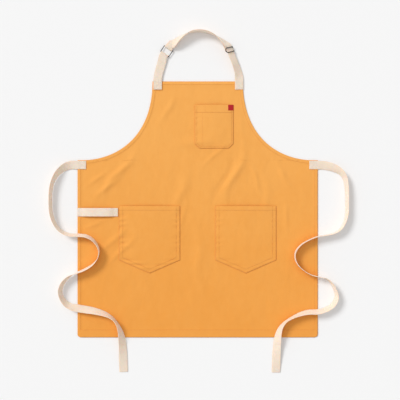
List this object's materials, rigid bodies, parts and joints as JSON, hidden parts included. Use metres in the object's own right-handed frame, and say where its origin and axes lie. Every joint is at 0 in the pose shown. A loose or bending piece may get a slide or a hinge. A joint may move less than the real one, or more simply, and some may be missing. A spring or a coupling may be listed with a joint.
{
  "type": "bib apron",
  "caption": "Bib apron lying flat, in cotton twill with webbing neck strap and waist ties, patch pockets, a towel loop and an adjuster.",
  "frame": {"origin": "back face of the cloth at the centre front, on the waist line where the armholes meet the sides", "axes": "+X across the apron to the wearer's left, +Y towards the neck, +Z out of the front face; the apron lies on its back"},
  "size_m": [1.0067, 1.1561, 0.0317],
  "materials": {
    "twill": "matte",
    "webbing": "matte",
    "thread": "matte",
    "metal": "satin",
    "tag": "matte"
  },
  "bodies": {
    "apron": {"apron_panel": "twill", "left_hip_pocket": "twill", "right_hip_pocket": "twill", "chest_pocket": "twill", "pocket_tag": "tag", "towel_loop": "webbing", "short_strap_tab": "webbing", "long_strap_tab": "webbing", "left_tie_tab": "webbing", "right_tie_tab": "webbing", "side_stitching": "thread", "armhole_stitching": "thread", "bib_top_stitching": "thread", "hem_stitching": "thread", "left_hip_stitching": "thread", "right_hip_stitching": "thread", "chest_stitching": "thread", "pen_slot_stitching": "thread", "short_strap_stitching": "thread", "long_strap_stitching": "thread", "left_tie_stitching": "thread", "right_tie_stitching": "thread", "towel_loop_stitching": "thread"},
    "neck_loop": {"short_neck_strap": "webbing", "long_neck_strap": "webbing"},
    "slide": {"strap_slide": "metal", "long_strap_end": "webbing", "strap_end_stitching": "thread"},
    "ring": {"strap_ring": "metal"},
    "left_tie": {"left_tie": "webbing"},
    "right_tie": {"right_tie": "webbing"}
  },
  "joints": [
    {"name": "neck_loop_fold", "type": "hinge", "parent": "apron", "child": "neck_loop", "pos_m": [0, 0.2688, 0.006], "axis": [1, 0, 0], "range_deg": [0, 150]},
    {"name": "slide_travel", "type": "slide", "parent": "neck_loop", "child": "slide", "axis": [0.3746, -0.9272, 0], "range_m": [0, 0.034]},
    {"name": "ring_tilt", "type": "hinge", "parent": "neck_loop", "child": "ring", "pos_m": [-0.11171, 0.35905, 0.00496], "axis": [0.829, -0.5592, 0], "range_deg": [-3, 3]},
    {"name": "left_tie_lift", "type": "hinge", "parent": "apron", "child": "left_tie", "pos_m": [-0.4078, -0.0017, 0.0026], "axis": [-1, 0, 0], "range_deg": [0, 90]},
    {"name": "right_tie_lift", "type": "hinge", "parent": "apron", "child": "right_tie", "pos_m": [0.4078, -0.0017, 0.0026], "axis": [-1, 0, 0], "range_deg": [0, 90]}
  ]
}
